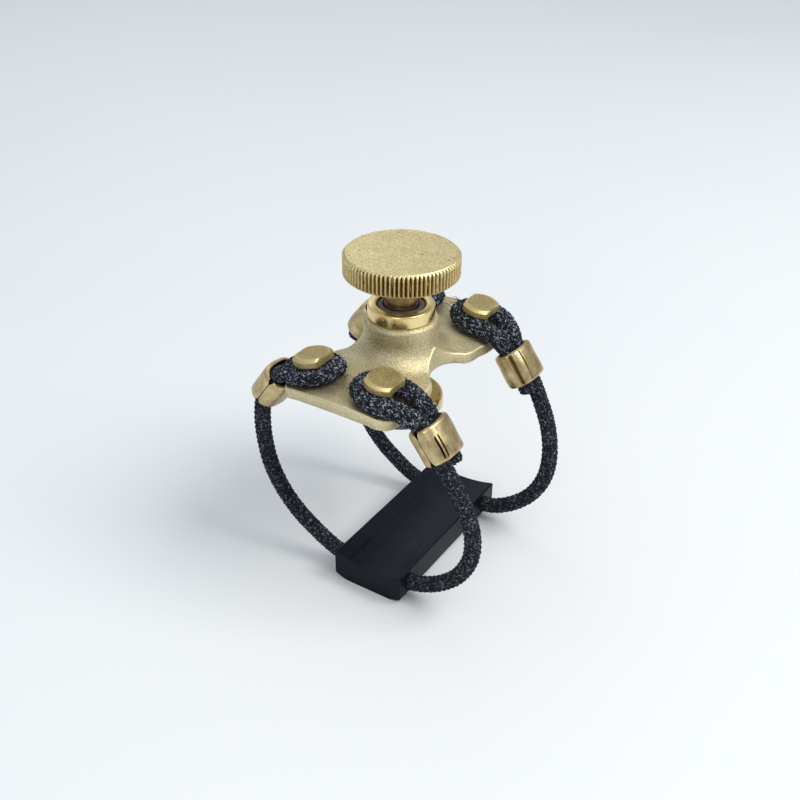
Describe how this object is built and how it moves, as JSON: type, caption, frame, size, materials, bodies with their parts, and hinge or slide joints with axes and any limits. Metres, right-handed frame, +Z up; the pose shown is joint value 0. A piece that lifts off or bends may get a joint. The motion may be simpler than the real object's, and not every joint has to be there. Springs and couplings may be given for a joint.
{
  "type": "saxophone ligature",
  "caption": "Cord-slung saxophone ligature: brass yoke with thumbscrew and pressure foot over a hard rubber reed plate.",
  "frame": {"origin": "middle of the reed plate's flat underside, on the surface that the ligature stands on", "axes": "+Z up along the thumbscrew, from the reed plate to the knob; +Y along the mouthpiece and the reed, towards the rear; +X across them"},
  "size_m": [0.0356, 0.0342, 0.0461],
  "materials": {
    "hard_rubber": "satin black hard rubber with a faint lengthwise grain",
    "braided_cord": "charcoal braid flecked with grey",
    "blasted_brass": "bead blasted",
    "stud_brass": "bead blasted, a little darker",
    "sleeve_brass": "rolled and tumbled, half bright",
    "polished_brass": "turned and polished",
    "satin_brass": "satin with fine scratches",
    "bronze": "turned, half bright",
    "ring_rubber": "matt",
    "pad_felt": "matt, speckled"
  },
  "bodies": {
    "reed_plate": {"reed_plate": "hard_rubber"},
    "yoke": {"yoke": "blasted_brass", "cord_post_rear_right": "stud_brass", "cord_post_front_right": "stud_brass", "cord_post_rear_left": "stud_brass", "cord_post_front_left": "stud_brass", "crimp_sleeve_rear_right": "sleeve_brass", "crimp_sleeve_front_right": "sleeve_brass", "crimp_sleeve_rear_left": "sleeve_brass", "crimp_sleeve_front_left": "sleeve_brass", "screw_bushing": "polished_brass", "friction_ring": "ring_rubber", "rear_cord": "braided_cord", "front_cord": "braided_cord"},
    "pressure_foot": {"pressure_foot": "polished_brass", "foot_pad": "pad_felt"},
    "thumbscrew": {"thumbscrew_knob": "satin_brass", "thumbscrew_shaft": "bronze", "retaining_clip": "bronze"}
  },
  "joints": [
    {"name": "cord_flex", "type": "slide", "parent": "reed_plate", "child": "yoke", "axis": [0, 0, 1], "range_m": [-0.003, 0.003], "stiffness_N_per_m": 600, "springref_m": 0.0004, "deforming": ["rear_cord", "front_cord"]},
    {"name": "foot_travel", "type": "slide", "parent": "yoke", "child": "pressure_foot", "axis": [0, 0, 1], "range_m": [-0.0035, 0.00455]},
    {"name": "screw_turn", "type": "hinge", "parent": "pressure_foot", "child": "thumbscrew", "pos_m": [-0.00335, 0, 0.0253], "axis": [0, 0, 1], "range_deg": [-1801, 2341]}
  ],
  "couplings": [
    {"joint": "screw_turn", "follows": "foot_travel", "rad_per_m": 8976}
  ]
}
